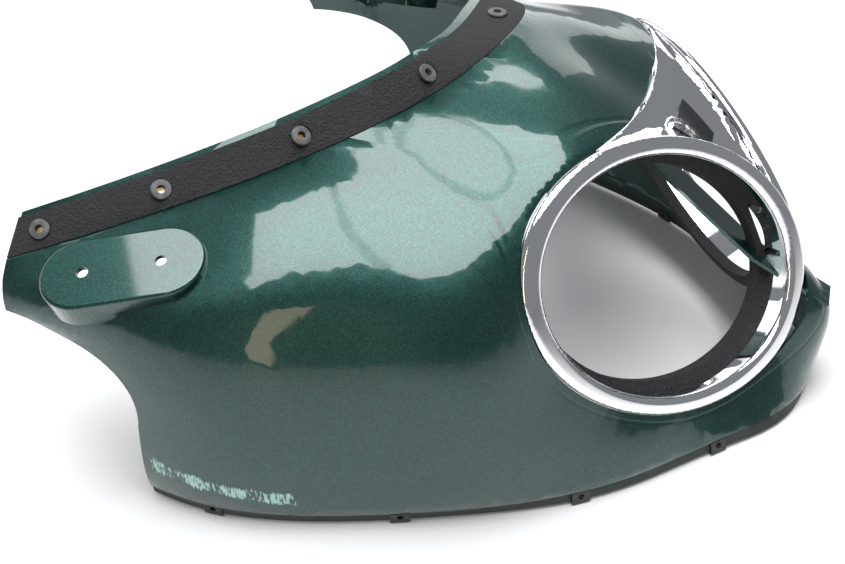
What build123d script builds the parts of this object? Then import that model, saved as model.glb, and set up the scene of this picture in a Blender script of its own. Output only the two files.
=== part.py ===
# Nose fairing of a touring motorcycle with two round headlight openings.
# Millimetres, +Z up, the nose points to -Y, symmetric about X = 0, standing on its lower edge.
import os
from math import atan2, cos, degrees, hypot, radians, sin, sqrt

from build123d import *

# Moulding
wall = 3.0                    # thickness of the shell
section_axis_y = 338.0        # upright line through which all the sections of the skin pass

# Lower edge
ground = 62.0                 # the fairing stands at this level, all heights count from the same datum
edge_flange_height = ground + 11.5  # foot of the painted face
edge_flange_foot = ground + 2.5     # foot of the stepped flange, the clips reach below it
edge_flange_step = 2.2        # how far it is stepped in behind the painted face
edge_flange_wall = 2.6
edge_flange_top = ground + 17.5     # it runs this far up behind the skin
bottom_nose_y = -284.0        # plan of the lower edge
bottom_chin = (101.0, -236.0)
bottom_cheek = (210.0, -127.0)
bottom_flank = (273.0, -6.0)
bottom_side = (308.0, 115.0)
bottom_rear = (307.0, 175.0)
bottom_tail = (285.0, 330.0)

# Flank and shoulder
belly_share = 0.45            # the belly lies this far up between the foot and the flank
flank_height = 138.0
flank_share = 0.88            # share of the spread between shoulder and foot reached at the flank
upper_flank_height = 198.0
upper_share = 0.52
shoulder_height = 238.0
shoulder_drop = 26.0          # how far the shoulder falls away towards the tail
shoulder_lamp = (230.0, -46.0)
shoulder_flank = (258.0, 30.0)
shoulder_side = (287.0, 130.0)
shoulder_wide = (299.0, 200.0)
shoulder_tail = (282.0, 300.0)
shoulder_crown = 16.0         # rounding between the shoulder and the screen flange
tail_crown = 2.0              # it is flatter under the mirror pads
nose_crown = 3.0
lamp_crown = 7.0
belly_round = 3.5             # how far the belly stands out of the straight line below it
flank_round = 4.5
prow_y = -284.0               # foremost point of the nose, below the lamps
prow_height = 140.0
prow_neck = (-258.0, 172.0)   # the prow falls back here to the foot of the bridge panel
prow_top = (-246.0, 195.0)

# Lamps: round openings seen from the front, cut through a plane that is swept back and leaned back
lamp_x = 100.6
lamp_y = -162.1
lamp_height = 205.0
lamp_sweep = 0.78             # rise of Y for each mm outwards
lamp_lean = 0.496             # rise of Y for each mm upwards
lamp_swell = 20.0             # how far the skin would swell out of that plane if it weren't cut
bezel_outer_radius = 105.0
bezel_inner_radius = 91.0
bezel_clearance = 0.4         # between the bezel and the painted edge around it
bezel_wall = 2.4
bead_height = 6.5             # rounded rim that stands out of the lamp plane
bead_round = 5.6
funnel_depth = 20.0           # the rim runs this far in behind the lamp plane
rim_depth = 1.5               # the rim is let into the painted edge by this much
seal_outer_radius = 92.0
seal_inner_radius = 84.0
seal_depth = 9.0
centre_gap = 0.3              # half of the gap between the two seals

# Bridge panel of the bezel between the two rims
bridge_foot_y = -242.0
bridge_foot_height = 205.0
bridge_knee_y = -136.0
bridge_knee_height = 290.0
bridge_top_y = -119.0
bridge_top_height = 300.5
bridge_bow = 0.0016           # plan of the bridge's top edge
bridge_edge_x = 112.0         # where that edge leaves the rims
bridge_angles = (0.0, 15.0, 30.0, 45.0, 60.0, 75.0)
bridge_rise = 8.5             # rise of the top edge from the centre to the rims
bridge_end_angle = 14.0       # sections up to this angle end at the bridge
bridge_proud = 0.8            # the bezel stands this far out of the paint
web_half_width = 14.0         # web of the shell between the lamps
web_wall = 3.0

# Badge plate on the bridge panel
badge_top_half = 24.0
badge_low_half = 14.0
badge_top_y = -142.0
badge_low_y = -171.0
badge_thickness = 1.2

# Screen flange
screen_y = 6.0                # where the flange crosses the centre
screen_height = 349.0
screen_bow = 0.0043           # plan of the flange, Y = screen_y + screen_bow * X * X
screen_fall = 0.847           # fall of the flange towards the tail
screen_fall_power = 0.85
strip_width_centre = 40.0
strip_width_side = 30.0
strip_thickness = 2.4
strip_clearance = 0.5         # between the strip and the painted step
glue_line = 0.2               # under the foam strip and the badge
flange_wall = 2.6
flange_root = 3.0             # how far the flange runs under the skin
skin_samples = 12
flange_lip = 4.0              # bare lip beyond the strip
flange_lip_centre = 9.0
flange_tilt = 44.0            # outward tilt of the flange along the sides
flange_tilt_centre = 3.0
flange_tilt_span = 16.0       # angle from the centre over which it reaches that tilt
tail_angle = 86.0             # last section of the skin, trimmed off by the tail cut

# Tail cut, drawn from the side
tail_foot_y = 183.0           # rear end of the lower edge
tail_waist = (181.5, 135.0)   # furthest point forward
tail_knee = (191.0, 175.0)
tail_arch = (229.0, 197.0)
tail_tip = (288.5, 203.8)     # rear tip of the wings
tail_end_y = 293.0

# Mirror pads
pad_angle = 21.8              # outward slope of the pad
pad_hole_front = (265.0, 169.0, 257.0)
pad_hole_rear = (285.0, 220.0, 249.0)
pad_hole_diameter = 8.5
pad_length = 118.0
pad_width = 58.0
pad_depth = 22.0
pad_wall = 3.2
pad_round = 2.5

# Well nuts for the screen screws
nut_places = (0.0, 85.0, 155.0, 210.0, 250.0)
nut_flange_diameter = 15.0
nut_flange_thickness = 2.4
nut_body_diameter = 10.0
nut_body_length = 12.0
nut_clearance = 0.2           # around the body of the nut
nut_seat_gap = 0.4            # around the flange in its pressed seat in the foam
insert_diameter = 7.0
insert_bore = 4.2
insert_length = 8.0
insert_recess = 1.5
nut_mouth_diameter = 6.3

# Spring clips on the lower flange
clip_wall = 0.8
clip_width = 15.0
clip_height = 8.0
clip_clearance = 0.7          # the flange bends a little along the width of a clip
clip_hole_diameter = 5.0
clip_places = ((121.0, -220.0), (208.0, -126.0), (271.0, -6.0), (307.0, 129.0))
clip_edge_hole = 6.0          # hole of the flange behind the clip

section_angles = (6.0, 12.0, 18.0, 23.5, 31.0, 40.0, 50.0, 60.0, 70.0, 78.0, tail_angle)

home = Location((0, -2.37, -ground))  # brings the middle of the length to Y = 0 and the foot to Z = 0

os.makedirs("parts", exist_ok=True)


def save(part, name):
    """Move a piece to the shared frame and write it."""
    piece = part.moved(home)
    piece.label = name
    export_step(piece, f"parts/{name}.step")


with BuildLine(Plane.XY) as bottom_plan:
    Spline(
        (0, bottom_nose_y), bottom_chin, bottom_cheek, bottom_flank, bottom_side, bottom_rear, bottom_tail,
        tangents=[(1, 0), (0, 1)],
    )

with BuildLine(Plane.XY) as shoulder_plan:
    Spline(shoulder_lamp, shoulder_flank, shoulder_side, shoulder_wide, shoulder_tail, (262.0, 345.0))


def plan_radius(plan, angle):
    """Distance from the section axis to a plan curve, in the direction of the section at this angle."""
    turn = radians(angle)
    ray = Edge.make_line((0, section_axis_y), (700 * sin(turn), section_axis_y - 700 * cos(turn)))
    hit = plan.edges()[0].find_intersection_points(ray)[0]
    return hypot(hit.X, hit.Y - section_axis_y)


def lamp_reach(angle, height):
    """Distance from the section axis to the lamp plane."""
    turn = radians(angle)
    level = section_axis_y - lamp_y + lamp_sweep * lamp_x - lamp_lean * (height - lamp_height)
    return level / (cos(turn) + lamp_sweep * sin(turn))


def lamp_heights(angle):
    """Lower and upper height at which the section meets the bezel's outer edge."""
    turn = radians(angle)
    share = sin(turn) / (cos(turn) + lamp_sweep * sin(turn))
    offset = share * (section_axis_y - lamp_y + lamp_sweep * lamp_x) - lamp_x
    slope = -share * lamp_lean
    a = 1 + slope * slope
    b = 2 * offset * slope
    c = offset * offset - bezel_outer_radius ** 2
    root = sqrt(b * b - 4 * a * c)
    return lamp_height + (-b - root) / (2 * a), lamp_height + (-b + root) / (2 * a)


def bow_reach(angle, nose_y, bow):
    """Distance from the section axis to the bowed line Y = nose_y + bow * X * X."""
    turn = radians(angle)
    a = bow * sin(turn) ** 2
    b = cos(turn)
    c = section_axis_y - nose_y
    return c / b if a < 1e-9 else (-b + sqrt(b * b + 4 * a * c)) / (2 * a)


def screen_point(angle):
    """Distance and height of the middle of the screen flange."""
    reach = bow_reach(angle, screen_y, screen_bow)
    run = screen_bow * (reach * sin(radians(angle))) ** 2
    return reach, screen_height - screen_fall * run ** screen_fall_power


def bridge_edge_height(x):
    """Height of the bezel's top edge between the lamps."""
    rise = 1 - (1 - min(1.0, abs(x) / bridge_edge_x)) ** 2
    return bridge_top_height + bridge_rise * rise


def flange_frame(angle):
    """Middle of the flange, its outward and its upward direction, and the strip's width."""
    share = min(1.0, angle / flange_tilt_span)
    tilt = radians(flange_tilt_centre + (flange_tilt - flange_tilt_centre) * share * share)
    width = strip_width_centre + (strip_width_side - strip_width_centre) * share
    lip = flange_lip_centre + (flange_lip - flange_lip_centre) * share
    return Vector(*screen_point(angle)), Vector(cos(tilt), -sin(tilt)), Vector(sin(tilt), cos(tilt)), width, lip


def skin_points(angle):
    """Points of the painted face in one section, from the lower edge to the screen step."""
    bottom = plan_radius(bottom_plan, angle)
    middle, outward, upward, width, lip = flange_frame(angle)
    step = middle + outward * (width / 2) + upward * strip_thickness
    neck = []
    if angle == 0:
        flank = (section_axis_y - prow_y, prow_height)
        neck = [Vector(section_axis_y - prow_neck[0], prow_neck[1])]
        upper = (section_axis_y - prow_top[0], prow_top[1])
        crown = nose_crown
    elif angle < 26:
        low, high = lamp_heights(angle)
        mid = (low + high) / 2
        flank = (lamp_reach(angle, low), low)
        across = lamp_reach(angle, mid) * sin(radians(angle)) - lamp_x
        swell = lamp_swell * (1 - (across / bezel_outer_radius) ** 2)
        upper = (lamp_reach(angle, mid) + swell, mid)
        shoulder = (lamp_reach(angle, high), high)
        crown = lamp_crown
    else:
        wide = plan_radius(shoulder_plan, angle)
        flank = (wide + (bottom - wide) * flank_share + flank_round, flank_height)
        upper = (wide + (bottom - wide) * upper_share + flank_round, upper_flank_height)
        fall = max(0.0, (angle - 50) / (tail_angle - 50))
        shoulder = (wide, shoulder_height - shoulder_drop * fall)
        crown = shoulder_crown - (shoulder_crown - tail_crown) * min(1.0, max(0.0, (angle - 40) / 18))
    if angle < bridge_end_angle:
        edge = bow_reach(angle, bridge_top_y, bridge_bow)
        shoulder = (edge, bridge_edge_height(edge * sin(radians(angle))) - bridge_proud)
    belly_height = edge_flange_height + (flank[1] - edge_flange_height) * belly_share
    belly = (bottom + (flank[0] - bottom) * belly_share + belly_round, belly_height)
    deck = ((shoulder[0] + step.X) / 2 + crown * 0.7, (shoulder[1] + step.Y) / 2 + crown * 0.7)
    low = [Vector(bottom, edge_flange_height), Vector(*belly), Vector(*flank)]
    return [*low, *neck, *(Vector(*p) for p in (upper, shoulder, deck)), step]


def lifted(points, height):
    """The same points moved square to the face they draw."""
    moved = []
    for i, point in enumerate(points):
        along = points[min(i + 1, len(points) - 1)] - points[max(i - 1, 0)]
        moved.append(point + Vector(along.Y, -along.X).normalized() * height)
    return moved


def place(angle, side, point):
    """A point of a section, given by reach and height, in space."""
    turn = radians(angle)
    return Vector(side * point.X * sin(turn), section_axis_y - point.X * cos(turn), point.Y)


def sheet(rows, lift=0.0):
    """One smooth face through rows of points, from one tail across the nose to the other."""
    grid = []
    for angle, side in stations:
        grid.append([place(angle, side, point) for point in rows(angle, lift)])
    return Face.make_surface_from_array_of_points(grid, tol=0.2, smoothing=(1, 0.1, 0.05), max_deg=5)


def skin_rows(angle, lift):
    """Evenly spaced points along one section, at a distance from the painted face."""
    curve = Spline(*lifted(skin_points(angle), lift), mode=Mode.PRIVATE)
    return [curve.position_at(i / skin_samples) for i in range(skin_samples + 1)]


def flange_rows(angle, lift):
    """Points across the screen flange, from its rim to just under the skin."""
    middle, outward, upward, width, lip = flange_frame(angle)
    rim = middle - outward * (width / 2 + lip) + upward * lift
    root = middle + outward * (width / 2 + flange_root) + upward * lift
    return [rim + (root - rim) * (i / 3) for i in range(4)]


def strip_rows(angle, lift):
    """Points across the foam strip, which lies in the step of the flange."""
    middle, outward, upward, width, lip = flange_frame(angle)
    reach = width / 2 - strip_clearance
    return [middle + outward * (reach * (i / 1.5 - 1)) + upward * lift for i in range(4)]


def edge_rows(angle, lift):
    """Points up the stepped lower flange, parallel to the foot of the skin."""
    foot, belly = skin_points(angle)[:2]
    slope = (belly - foot) * (1 / (belly.Y - foot.Y))
    start = foot + Vector(lift - edge_flange_step, 0) + slope * (edge_flange_foot - foot.Y)
    return [start + slope * ((edge_flange_top - edge_flange_foot) * i / 3) for i in range(4)]


stations = [(a, -1) for a in reversed(section_angles)] + [(0.0, 1)] + [(a, 1) for a in section_angles]
lamp_stretch = sqrt(1 + lamp_sweep ** 2 + lamp_lean ** 2)


def lamp_plane(side, depth=0.0):
    """Plane of one lamp, X along the long axis of the oval, moved back by the depth."""
    normal = Vector(side * lamp_sweep, -1, lamp_lean).normalized()
    slope = hypot(lamp_sweep, lamp_lean)
    along = Vector(side * lamp_sweep / slope, slope, lamp_lean / slope)
    return Plane(Vector(side * lamp_x, lamp_y, lamp_height) - normal * depth, x_dir=along, z_dir=normal)


def lamp_oval(radius, mode=Mode.ADD):
    """The oval that is a circle of this radius when it is seen from the front."""
    return Ellipse(lamp_stretch * radius, radius, mode=mode)


def rim_point(side, turn, radius, lift):
    """Point of a rim, counted from the centre line upwards, lifted off the lamp plane."""
    across = -radius * cos(radians(turn))
    up = radius * sin(radians(turn))
    normal = Vector(side * lamp_sweep, -1, lamp_lean).normalized()
    base = Vector(side * (lamp_x + across), lamp_y + lamp_sweep * across + lamp_lean * up, lamp_height + up)
    return base + normal * lift


def bridge_profile(height):
    """Y of the bridge panel on the centre line."""
    if height < bridge_knee_height:
        share = (height - bridge_foot_height) / (bridge_knee_height - bridge_foot_height)
        return bridge_foot_y + (bridge_knee_y - bridge_foot_y) * share
    share = (height - bridge_knee_height) / (bridge_top_height - bridge_knee_height)
    return bridge_knee_y + (bridge_top_y - bridge_knee_y) * share


def bridge_grid():
    """Rows of points across the bridge, hanging from the crest of one rim to the other."""
    crest = (bezel_outer_radius + bezel_inner_radius) / 2
    rows = []
    for turn in bridge_angles:
        start = rim_point(-1, turn, crest, bead_height - bead_round / 2)
        height = bridge_foot_height + (bridge_top_height - bridge_foot_height) * sin(radians(min(turn, 90)))
        centre = Vector(0, bridge_profile(height), height)
        row = []
        for i in range(9):
            share = i / 4 - 1
            drop = 1 - share * share
            row.append(Vector(start.X * share, start.Y + (centre.Y - start.Y) * drop,
                              start.Z + (centre.Z - start.Z) * drop))
        rows.append(row)
    edge = [bridge_edge_x * (1 - i / 4) for i in range(9)]
    rows.append([Vector(x, bridge_top_y + bridge_bow * x * x, bridge_edge_height(x)) for x in edge])
    return rows


def flange_plane(x):
    """Plane on the flange at this X, Z square to it."""
    angle = degrees(atan2(abs(x), section_axis_y - screen_y - screen_bow * x * x))
    side = -1 if x < 0 else 1
    middle, outward, upward, width, lip = flange_frame(angle)
    origin = place(angle, side, middle)
    return Plane(origin, x_dir=place(angle, side, middle + outward) - origin,
                 z_dir=place(angle, side, middle + upward) - origin)


def clip_plane(place_xy, side):
    """Plane at the foot of the lower flange, X outwards and Y up along the flange."""
    angle = degrees(atan2(place_xy[0], section_axis_y - place_xy[1]))
    foot, *rest, top = [place(angle, side, point) for point in edge_rows(angle, 0.0)]
    before = place(angle - 1, side, edge_rows(angle - 1, 0.0)[0])
    after = place(angle + 1, side, edge_rows(angle + 1, 0.0)[0])
    upward = (top - foot).normalized()
    outward = (after - before).cross(upward) * side
    return Plane(foot, x_dir=outward, z_dir=(before - after) * side)


def pad_plane(side):
    """Flat of a mirror pad, X from the front hole to the rear hole."""
    front = Vector(side * pad_hole_front[0], pad_hole_front[1], pad_hole_front[2])
    rear = Vector(side * pad_hole_rear[0], pad_hole_rear[1], pad_hole_rear[2])
    normal = Vector(side * sin(radians(pad_angle)), 0, cos(radians(pad_angle)))
    return Plane((front + rear) * 0.5, x_dir=rear - front, z_dir=normal)


web_line = [(-284, 146), (-219, 178), (-112, 264), (-98, 309)]
hole_spacing = (Vector(*pad_hole_rear) - Vector(*pad_hole_front)).length
clip_planes = [clip_plane(xy, side) for xy in clip_places for side in (-1, 1)]
clip_hole_frames = [plane.location * Location((0, clip_height / 2, 0), (0, 90, 0)) for plane in clip_planes]
nut_x = sorted({side * x for x in nut_places for side in (-1, 1)})

with BuildPart() as fairing_shell:
    thicken(sheet(skin_rows), amount=-wall)
    thicken(sheet(flange_rows), amount=flange_wall)
    thicken(sheet(edge_rows), amount=-edge_flange_wall)
    # Lamp apertures and the window of the bridge panel
    for side in (-1, 1):
        with BuildSketch(lamp_plane(side)):
            lamp_oval(bezel_outer_radius + bezel_clearance)
        extrude(amount=45, both=True, mode=Mode.SUBTRACT)
    with BuildSketch(Plane.XY.offset(prow_top[1] + bridge_rise)):
        with BuildLine():
            top_y = bridge_top_y + bridge_bow * bridge_edge_x ** 2 + bezel_clearance
            Spline((-bridge_edge_x, top_y), (0, bridge_top_y + bezel_clearance), (bridge_edge_x, top_y))
            Polyline((bridge_edge_x, top_y), (bridge_edge_x, prow_y - 50), (-bridge_edge_x, prow_y - 50),
                     (-bridge_edge_x, top_y))
        make_face()
    extrude(amount=150, mode=Mode.SUBTRACT)
    # Tail cut
    with BuildSketch(Plane.YZ) as tail_side:
        with BuildLine():
            Polyline((tail_foot_y, ground - 20), tail_waist)
            Spline(tail_waist, tail_knee, tail_arch, tail_tip)
            Polyline(tail_tip, (tail_end_y, tail_tip[1] + 20), (tail_end_y, 450), (450, 450),
                     (450, ground - 20), (tail_foot_y, ground - 20))
        make_face()
    extrude(amount=400, both=True, mode=Mode.SUBTRACT)

    # Web between the lamps
    with BuildSketch(Plane.YZ):
        with BuildLine():
            back = [(y + 0.63 * web_wall, z - 0.78 * web_wall) for y, z in web_line]
            Polyline(*web_line, *reversed(back), close=True)
        make_face()
    extrude(amount=web_half_width, both=True)
    # Mirror pads
    for side in (-1, 1):
        with BuildPart(mode=Mode.PRIVATE) as pad:
            with BuildSketch(pad_plane(side)):
                SlotOverall(pad_length, pad_width)
            extrude(amount=-pad_depth)
            top = pad.faces().sort_by(Axis(pad_plane(side).origin, pad_plane(side).z_dir))[-1]
            fillet(top.edges(), pad_round)
        add(pad.part)
        with BuildSketch(pad_plane(side).offset(-pad_wall)):
            SlotOverall(pad_length - 2 * pad_wall, pad_width - 2 * pad_wall)
        extrude(amount=-pad_depth - 10, mode=Mode.SUBTRACT)
        with BuildSketch(pad_plane(side)):
            with Locations((-hole_spacing / 2, 0), (hole_spacing / 2, 0)):
                Circle(pad_hole_diameter / 2)
        extrude(amount=10, both=True, mode=Mode.SUBTRACT)
    # Holes of the well nuts
    with Locations(*[flange_plane(x) for x in nut_x]):
        Cylinder(nut_body_diameter / 2 + nut_clearance, 14, mode=Mode.SUBTRACT)
    # Holes of the lower flange behind the clips
    with Locations(*clip_hole_frames):
        Cylinder(clip_edge_hole / 2, 12, mode=Mode.SUBTRACT)

save(fairing_shell.part, "fairing_shell")

with BuildPart() as lamp_bezel:
    with BuildSketch(lamp_plane(-1, rim_depth)):
        lamp_oval(bezel_outer_radius)
        lamp_oval(bezel_inner_radius, mode=Mode.SUBTRACT)
    extrude(amount=bead_height + rim_depth)
    crest = lamp_bezel.faces().sort_by(Axis((0, 0, 0), lamp_plane(-1).z_dir))[-1]
    fillet(crest.edges(), bead_round)
    with BuildSketch(lamp_plane(-1)):
        lamp_oval(bezel_inner_radius + bezel_wall)
        lamp_oval(bezel_inner_radius, mode=Mode.SUBTRACT)
    extrude(amount=-funnel_depth)
    split(bisect_by=Plane.YZ, keep=Keep.BOTTOM)
    mirror(about=Plane.YZ)
    bridge = Face.make_surface_from_array_of_points(bridge_grid(), tol=0.1, smoothing=(1, 0.1, 0.05), max_deg=5)
    thicken(bridge, amount=-bezel_wall)

save(lamp_bezel.part, "lamp_bezel")

for side in (-1, 1):
    with BuildPart() as lamp_seal:
        with BuildSketch(lamp_plane(side, funnel_depth)):
            lamp_oval(seal_outer_radius)
            lamp_oval(seal_inner_radius, mode=Mode.SUBTRACT)
        extrude(amount=-seal_depth)
        split(bisect_by=Plane.YZ.offset(side * centre_gap), keep=Keep.TOP if side > 0 else Keep.BOTTOM)
    save(lamp_seal.part, "lamp_seal_left" if side > 0 else "lamp_seal_right")

with BuildPart() as badge_plate:
    thicken(bridge, amount=glue_line + badge_thickness)
    thicken(bridge, amount=glue_line, mode=Mode.SUBTRACT)
    with BuildSketch(Plane.XY.offset(bridge_foot_height)):
        with BuildLine():
            Polyline((-badge_top_half, badge_top_y), (badge_top_half, badge_top_y), (badge_low_half, badge_low_y),
                     (-badge_low_half, badge_low_y), close=True)
        make_face()
    extrude(amount=150, mode=Mode.INTERSECT)

save(badge_plate.part, "badge_plate")

nut_seat = glue_line + strip_thickness
nut_frames = [flange_plane(x).offset(nut_seat) for x in nut_x]
insert_frames = [frame.offset(-insert_recess) for frame in nut_frames]
hang = (Align.CENTER, Align.CENTER, Align.MAX)
stand = (Align.CENTER, Align.CENTER, Align.MIN)

with BuildPart() as screen_strip:
    thicken(sheet(strip_rows, glue_line), amount=-strip_thickness)
    extrude(tail_side.sketch, amount=400, both=True, mode=Mode.SUBTRACT)
    with Locations(*[flange_plane(x) for x in nut_x]):
        Cylinder(nut_body_diameter / 2 + nut_clearance, 14, mode=Mode.SUBTRACT)
    # The nut flanges press flat seats into the foam
    with Locations(*[frame.offset(-nut_seat_gap / 2) for frame in nut_frames]):
        Cylinder(nut_flange_diameter / 2 + nut_seat_gap, 6, align=stand, mode=Mode.SUBTRACT)

save(screen_strip.part, "screen_strip")

with BuildPart() as well_nut_rubbers:
    with Locations(*nut_frames):
        Cylinder(nut_flange_diameter / 2, nut_flange_thickness, align=stand)
        Cylinder(nut_body_diameter / 2, nut_body_length, align=hang)
        Cylinder(nut_mouth_diameter / 2, 40, mode=Mode.SUBTRACT)
    with Locations(*insert_frames):
        Cylinder(insert_diameter / 2, insert_length, align=hang, mode=Mode.SUBTRACT)
    mouths = well_nut_rubbers.edges().filter_by(GeomType.CIRCLE)
    rims = mouths.filter_by(lambda edge: abs(edge.radius - nut_flange_diameter / 2) < 0.01)
    chamfer(rims, nut_flange_thickness * 0.25)

save(well_nut_rubbers.part, "well_nut_rubbers")

with BuildPart() as well_nut_inserts:
    with Locations(*insert_frames):
        Cylinder(insert_diameter / 2, insert_length, align=hang)
        Cylinder(insert_bore / 2, 40, mode=Mode.SUBTRACT)

save(well_nut_inserts.part, "well_nut_inserts")

with BuildPart() as edge_clips:
    for plane in clip_planes:
        with BuildSketch(plane):
            with BuildLine():
                outer = clip_clearance + clip_wall
                inner = -edge_flange_wall - clip_clearance - clip_wall
                Polyline((outer, clip_height), (outer, -outer), (inner, -outer), (inner, clip_height),
                         (inner + clip_wall, clip_height), (inner + clip_wall, -clip_clearance),
                         (outer - clip_wall, -clip_clearance), (outer - clip_wall, clip_height), close=True)
            make_face()
        extrude(amount=clip_width / 2, both=True)
    with Locations(*clip_hole_frames):
        Cylinder(clip_hole_diameter / 2, 14, mode=Mode.SUBTRACT)

save(edge_clips.part, "edge_clips")
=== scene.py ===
# %% [markdown]
# # A motorcycle nose fairing in a white studio
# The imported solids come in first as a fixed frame, in metres, with the nose towards -Y.
# Each cell below dresses one piece of the real fairing: the painted shell, the chrome bezel,
# the foam strip for the screen with its rubber well nuts, the lamp seals and the edge clips.

# %% Load the frame
from math import pi, radians

import bpy
from mathutils import Matrix, Vector


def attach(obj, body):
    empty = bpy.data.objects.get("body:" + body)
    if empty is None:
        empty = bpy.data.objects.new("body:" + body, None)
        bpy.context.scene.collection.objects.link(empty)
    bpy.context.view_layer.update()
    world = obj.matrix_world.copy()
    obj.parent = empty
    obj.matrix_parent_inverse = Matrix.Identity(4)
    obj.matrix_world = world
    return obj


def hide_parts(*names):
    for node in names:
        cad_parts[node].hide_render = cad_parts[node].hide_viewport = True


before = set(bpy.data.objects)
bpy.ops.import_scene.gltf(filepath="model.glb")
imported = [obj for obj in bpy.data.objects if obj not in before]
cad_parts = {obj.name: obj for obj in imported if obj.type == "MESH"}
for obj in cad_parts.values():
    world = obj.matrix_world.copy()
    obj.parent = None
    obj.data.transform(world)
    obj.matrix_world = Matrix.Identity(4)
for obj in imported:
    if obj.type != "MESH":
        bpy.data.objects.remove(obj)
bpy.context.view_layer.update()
scene = bpy.context.scene
scene.view_settings.view_transform = "Standard"
print("nodes:", sorted(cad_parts))

# %% [markdown]
# ## Shader sums written as Python
# A finish is easier to read when its masks are plain expressions such as `1 - mask`.
# A wrapped socket adds the Math node for each sign, and one method makes every other node.


# %% Socket arithmetic and the finish class
class Amount:
    """A value socket that can be added, multiplied and compared like a number."""

    def __init__(self, finish, socket):
        self.finish = finish
        self.socket = socket

    def sum_node(self, operation, first, second):
        return self.finish.node("ShaderNodeMath", {"operation": operation}, {0: first, 1: second})

    def __add__(self, other):
        return self.sum_node("ADD", self, other)

    def __sub__(self, other):
        return self.sum_node("SUBTRACT", self, other)

    def __rsub__(self, other):
        return self.sum_node("SUBTRACT", other, self)

    def __mul__(self, other):
        return self.sum_node("MULTIPLY", self, other)

    def __lt__(self, other):
        return self.sum_node("LESS_THAN", self, other)

    __radd__ = __add__
    __rmul__ = __mul__


class Finish:
    """One material with a Principled shader, filled socket by socket."""

    def __init__(self, name, **constants):
        self.material = bpy.data.materials.new(name)
        self.material.use_nodes = True
        self.tree = self.material.node_tree
        self.shader = self.tree.nodes["Principled BSDF"]
        for socket, value in constants.items():
            self.shader.inputs[socket.replace("_", " ").title().replace("Ior", "IOR")].default_value = value

    def node(self, kind, settings=None, inputs=None, output=0):
        made = self.tree.nodes.new(kind)
        for name, value in (settings or {}).items():
            setattr(made, name, value)
        for name, value in (inputs or {}).items():
            self.feed(made.inputs[name], value)
        return Amount(self, made.outputs[output])

    def feed(self, socket, value):
        if isinstance(value, Amount):
            self.tree.links.new(value.socket, socket)
        else:
            socket.default_value = value

    def set(self, socket, value):
        self.feed(self.shader.inputs[socket], value)

    def place(self):
        """Object coordinates as a vector."""
        return self.node("ShaderNodeTexCoord", output=3)

    def axes(self):
        """Object coordinates as three amounts, in metres."""
        split = self.tree.nodes.new("ShaderNodeSeparateXYZ")
        self.feed(split.inputs[0], self.place())
        return [Amount(self, out) for out in split.outputs]

    def noise(self, scale, detail=2.0, stretch=None):
        where = self.place()
        if stretch:
            where = self.node("ShaderNodeMapping", None, {"Vector": where, "Scale": stretch})
        return self.node("ShaderNodeTexNoise", None, {"Vector": where, "Scale": scale, "Detail": detail})

    def soft(self, value, low, high):
        """0 below low and 1 above high, with a smooth step between."""
        return self.node(
            "ShaderNodeMapRange", {"interpolation_type": "SMOOTHSTEP"},
            {"Value": value, "From Min": low, "From Max": high},
        )

    def between(self, value, low, high, edge):
        """1 between low and high, with soft edges."""
        return self.soft(value, low - edge, low + edge) * (1 - self.soft(value, high - edge, high + edge))

    def blend(self, share, first, second):
        return self.node(
            "ShaderNodeMix", {"data_type": "RGBA"}, {0: share, 6: first, 7: second}, output=2
        )

    def absolute(self, value):
        return self.node("ShaderNodeMath", {"operation": "ABSOLUTE"}, {0: value})

    def root(self, value):
        return self.node("ShaderNodeMath", {"operation": "SQRT"}, {0: value})

    def bump(self, height, strength, distance):
        self.set("Normal", self.node(
            "ShaderNodeBump", None, {"Height": height, "Strength": strength, "Distance": distance}
        ))


# %% [markdown]
# ## Green metallic paint
# The shell is moulded plastic in a deep green metallic under clear coat. The flakes are tiny cells of
# slightly different brightness under a smooth coat, so the colour lives in the base and the gloss in the coat.
# The maker's bead around the bezel is a fine double line, and the scrape at the rear lower corner goes down
# to a pale undercoat. The stepped flange at the foot is bare dark plastic.

# %% Paint finish
LAMP_X = 0.1006
LAMP_Z = 0.143
BEAD_RADIUS = 0.1115
DEEP_GREEN = (0.0006, 0.020, 0.017, 1)
FLAKE_GREEN = (0.004, 0.100, 0.080, 1)
UNDERCOAT = (0.42, 0.66, 0.60, 1)
BARE_PLASTIC = (0.022, 0.030, 0.028, 1)
SCRAPE_HEIGHT = 0.030
SCRAPE_FRONT = 0.062
SCRAPE_SLOPE = 0.10

paint = Finish("green_metallic_paint", coat_roughness=0.06, coat_ior=1.5)
x, y, z = paint.axes()
cells = paint.node("ShaderNodeTexVoronoi", None, {"Vector": paint.place(), "Scale": 1500.0}, output=1)
flake = paint.node("ShaderNodeSeparateColor", None, {0: cells})
cloud = paint.noise(14.0)
colour = paint.blend(paint.soft(flake, 0.35, 1.0) * 0.55 + cloud * 0.15, DEEP_GREEN, FLAKE_GREEN)
foot = 1 - paint.soft(z, 0.0110, 0.0117)
colour = paint.blend(foot, colour, BARE_PLASTIC)
streaks = paint.noise(70.0, 6.0, (1.0, 0.8, 0.45))
fine = paint.noise(380.0, 3.0, (1.0, 1.6, 0.4))
scrape_line = z - SCRAPE_HEIGHT - (y - SCRAPE_FRONT) * SCRAPE_SLOPE
scrape_zone = paint.between(scrape_line, -0.008, 0.008, 0.005) * paint.between(y, SCRAPE_FRONT, 0.175, 0.015)
scrape_zone = scrape_zone * (x < 0.0)
corner_zone = paint.soft(y, 0.166, 0.178) * (1 - paint.soft(z, 0.018, 0.030)) * (x < 0.0)
scrape = paint.soft(streaks * 0.6 + fine * 0.4 + scrape_zone * 0.26 + corner_zone * 0.20, 0.73, 0.80)
outer_face = paint.node("ShaderNodeAttribute", {"attribute_name": "outer_face"}, output=2)
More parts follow.
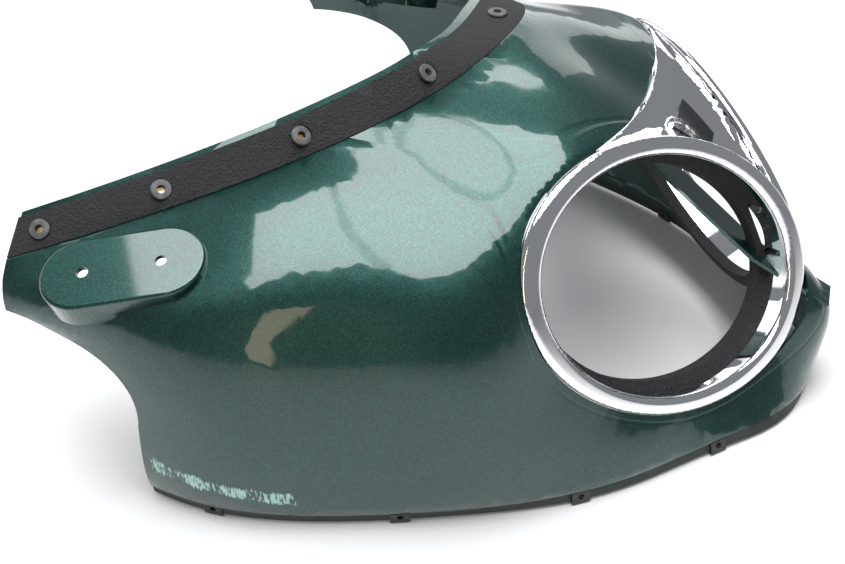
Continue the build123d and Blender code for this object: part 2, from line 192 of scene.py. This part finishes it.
scrape = scrape * paint.soft(scrape_zone + corner_zone, 0.05, 0.3) * outer_face
colour = paint.blend(scrape, colour, UNDERCOAT)
across = paint.absolute(x) - LAMP_X
up = z - LAMP_Z
ring = paint.root(across * across + up * up) - BEAD_RADIUS
bead = paint.between(ring, -0.0012, 0.0012, 0.0008) * (y < -0.02)
peel = paint.noise(240.0, 1.0)
paint.set("Base Color", colour)
paint.set("Metallic", (1 - scrape) * (1 - foot) * 0.62)
paint.set("Roughness", 0.34 + scrape * 0.3 + foot * 0.2)
paint.set("Coat Weight", (1 - scrape) * (1 - foot))
paint.bump(bead * -1.0 + peel * 0.006 - scrape * 0.5, 0.6, 0.0012)
print("paint nodes:", len(paint.tree.nodes))

# %% [markdown]
# ## Chrome, foam, rubber, brass and spring steel
# The bezel is plated plastic, so it is a near perfect mirror with faint wipe marks. The foam strip and the
# lamp seals are closed-cell foam with a coarse grain. The well nuts are grey rubber dulled by dust, with brass
# threads, and the clips on the lower edge are dark spring steel.

# %% Small finishes
chrome = Finish("bezel_chrome", base_color=(0.88, 0.89, 0.90, 1), metallic=1.0)
chrome.set("Roughness", 0.035 + chrome.soft(chrome.noise(30.0, 5.0, (1, 4, 1)), 0.5, 0.75) * 0.05)

foam = Finish("screen_foam")
grain = foam.node("ShaderNodeTexVoronoi", None, {"Vector": foam.place(), "Scale": 900.0})
pores = foam.soft(foam.noise(520.0, 4.0), 0.35, 0.7)
foam.set("Base Color", foam.blend(pores * 0.7 + grain * 0.3, (0.006, 0.006, 0.007, 1), (0.030, 0.030, 0.033, 1)))
foam.set("Roughness", 0.8 + pores * 0.15)
foam.bump(pores + grain * 0.5, 0.9, 0.0007)

rubber = Finish("well_nut_rubber")
dust = rubber.soft(rubber.noise(160.0, 4.0), 0.4, 0.75)
rubber.set("Base Color", rubber.blend(dust, (0.055, 0.057, 0.060, 1), (0.13, 0.135, 0.14, 1)))
rubber.set("Roughness", 0.55 + dust * 0.25)
rubber.bump(dust, 0.2, 0.0004)

brass = Finish("insert_brass", metallic=1.0)
turning = brass.noise(700.0, 2.0, (1, 1, 6))
brass.set("Base Color", brass.blend(turning, (0.30, 0.20, 0.08, 1), (0.55, 0.41, 0.18, 1)))
brass.set("Roughness", 0.3 + turning * 0.2)

steel = Finish("clip_steel", metallic=0.85)
stain = steel.noise(220.0, 4.0)
steel.set("Base Color", steel.blend(stain, (0.030, 0.031, 0.032, 1), (0.13, 0.13, 0.13, 1)))
steel.set("Roughness", 0.38 + stain * 0.25)

plate = Finish("badge_black", coat_weight=0.6)
haze = plate.noise(90.0, 3.0)
plate.set("Base Color", plate.blend(haze, (0.008, 0.008, 0.009, 1), (0.018, 0.018, 0.020, 1)))
plate.set("Roughness", 0.22 + haze * 0.12)
print("finishes:", [f.material.name for f in (paint, chrome, foam, rubber, brass, steel, plate)])

# %% [markdown]
# ## Smooth copies of the solids
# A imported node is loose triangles. For a glossy surface the triangles have to share their corners, so each
# node is copied, its doubles are merged and it is shaded smooth up to the angle of its real edges. Long thin
# triangles beside small ones would still bend the mirrored light, so each corner's normal is weighted by area.


# %% Merge and shade the pieces
def smooth_copy(node, name, finish, angle):
    bpy.ops.object.select_all(action="DESELECT")
    piece = bpy.data.objects.new(name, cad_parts[node].data.copy())
    scene.collection.objects.link(piece)
    bpy.context.view_layer.objects.active = piece
    piece.select_set(True)
    bpy.ops.object.mode_set(mode="EDIT")
    bpy.ops.mesh.select_all(action="SELECT")
    bpy.ops.mesh.remove_doubles(threshold=0.00003)
    bpy.ops.object.mode_set(mode="OBJECT")
    bpy.ops.object.shade_smooth_by_angle(angle=radians(angle))
    weighted = piece.modifiers.new("even_shading", "WEIGHTED_NORMAL")
    weighted.keep_sharp = True
    weighted.weight = 100
    bpy.ops.object.modifier_apply(modifier=weighted.name)
    piece.data.materials.clear()
    piece.data.materials.append(finish.material)
    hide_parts(node)
    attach(piece, "root")
    print(name, len(piece.data.polygons), "faces")
    return piece


shell = smooth_copy("fairing_shell", "painted_shell", paint, 16)
# The scrape lies on the outer face only, which turns away from the upright axis behind the nose
axis = Vector((0.0, 0.335))
outer_face = shell.data.attributes.new("outer_face", "FLOAT", "POINT")
for vertex, mark in zip(shell.data.vertices, outer_face.data):
    mark.value = float(vertex.normal.xy.dot(vertex.co.xy - axis) > 0)

smooth_copy("lamp_bezel", "chrome_bezel", chrome, 38)
smooth_copy("badge_plate", "bare_badge", plate, 30)
smooth_copy("screen_strip", "foam_strip", foam, 35)
smooth_copy("well_nut_rubbers", "rubber_nuts", rubber, 30)
smooth_copy("well_nut_inserts", "brass_threads", brass, 30)
smooth_copy("lamp_seal_right", "seal_right", foam, 30)
smooth_copy("lamp_seal_left", "seal_left", foam, 30)
smooth_copy("edge_clips", "spring_clips", steel, 30)

# %% [markdown]
# ## Studio
# A pale table runs on as the background in a dim room. Two long soft boxes hang side by side under the
# ceiling, so the shoulder of the paint mirrors two bright fields with a dimmer seam between them, the flank
# mirrors the dim room and the foot mirrors the table. A narrow warm light at the side draws the upright
# streak on the flank, and a weak light from behind reaches into the hollow. The camera stands where the
# photograph was taken.


# %% Floor, lights and camera
def floor_sheet():
    bpy.ops.object.select_all(action="DESELECT")
    bpy.ops.mesh.primitive_plane_add(size=12.0, location=(0, 0, -0.0005))
    sheet = bpy.context.active_object
    sheet.name = "studio_table"
    white = Finish("table_white", roughness=0.5)
    white.set("Base Color", white.blend(white.noise(3.0), (0.80, 0.80, 0.81, 1), (0.84, 0.84, 0.85, 1)))
    sheet.data.materials.append(white.material)


def soft_box(name, place, turn, size, glow, tint=(1, 1, 1)):
    """A flat light of even glow. Its power follows from its area, so a larger box is not dimmer."""
    light = bpy.data.lights.new(name, "AREA")
    light.shape = "RECTANGLE"
    light.size, light.size_y = size
    light.energy = glow * pi * size[0] * size[1]
    light.color = tint
    lamp = bpy.data.objects.new(name, light)
    scene.collection.objects.link(lamp)
    lamp.location = place
    lamp.rotation_euler = [radians(angle) for angle in turn]
    return lamp


floor_sheet()
soft_box("ceiling_box_rear", (-0.389, 0.516, 1.73), (0, 0, 28), (1.40, 0.62), 7.0)
soft_box("ceiling_box_front", (-0.101, -0.235, 1.75), (0, 0, 28), (1.70, 0.88), 7.0)
soft_box("ceiling_seam", (-0.232, 0.222, 1.74), (0, 0, 28), (1.50, 0.05), 4.2)
soft_box("rear_fill", (0.2, 1.8, 0.9), (-60, 0, 0), (1.4, 1.0), 1.6)
soft_box("far_side_fill", (1.5, 0.2, 1.0), (0, 65, 0), (1.2, 1.2), 1.6)
soft_box("warm_doorway", (-1.75, -0.12, 0.72), (0, -90, 0), (1.30, 0.16), 3.2, (1.0, 0.82, 0.55))

world = bpy.data.worlds.new("pale_room")
scene.world = world
world.use_nodes = True
sky = world.node_tree.nodes["Background"]
sky.inputs["Color"].default_value = (0.90, 0.94, 1.0, 1)
sky.inputs["Strength"].default_value = 0.25

camera_data = bpy.data.cameras.new("photo_camera")
camera_data.sensor_width = 36.0
camera_data.lens = 50.02
camera = bpy.data.objects.new("photo_camera", camera_data)
scene.collection.objects.link(camera)
right = Vector((0.31431, -0.94932, 0.0))
upward = Vector((0.55587, 0.18404, 0.81064))
forward = Vector((0.76956, 0.25480, -0.58554))
turn = Matrix((right, upward, -forward)).transposed().to_4x4()
camera.matrix_world = Matrix.Translation((-0.8378, -0.21267, 0.6556)) @ turn
scene.camera = camera
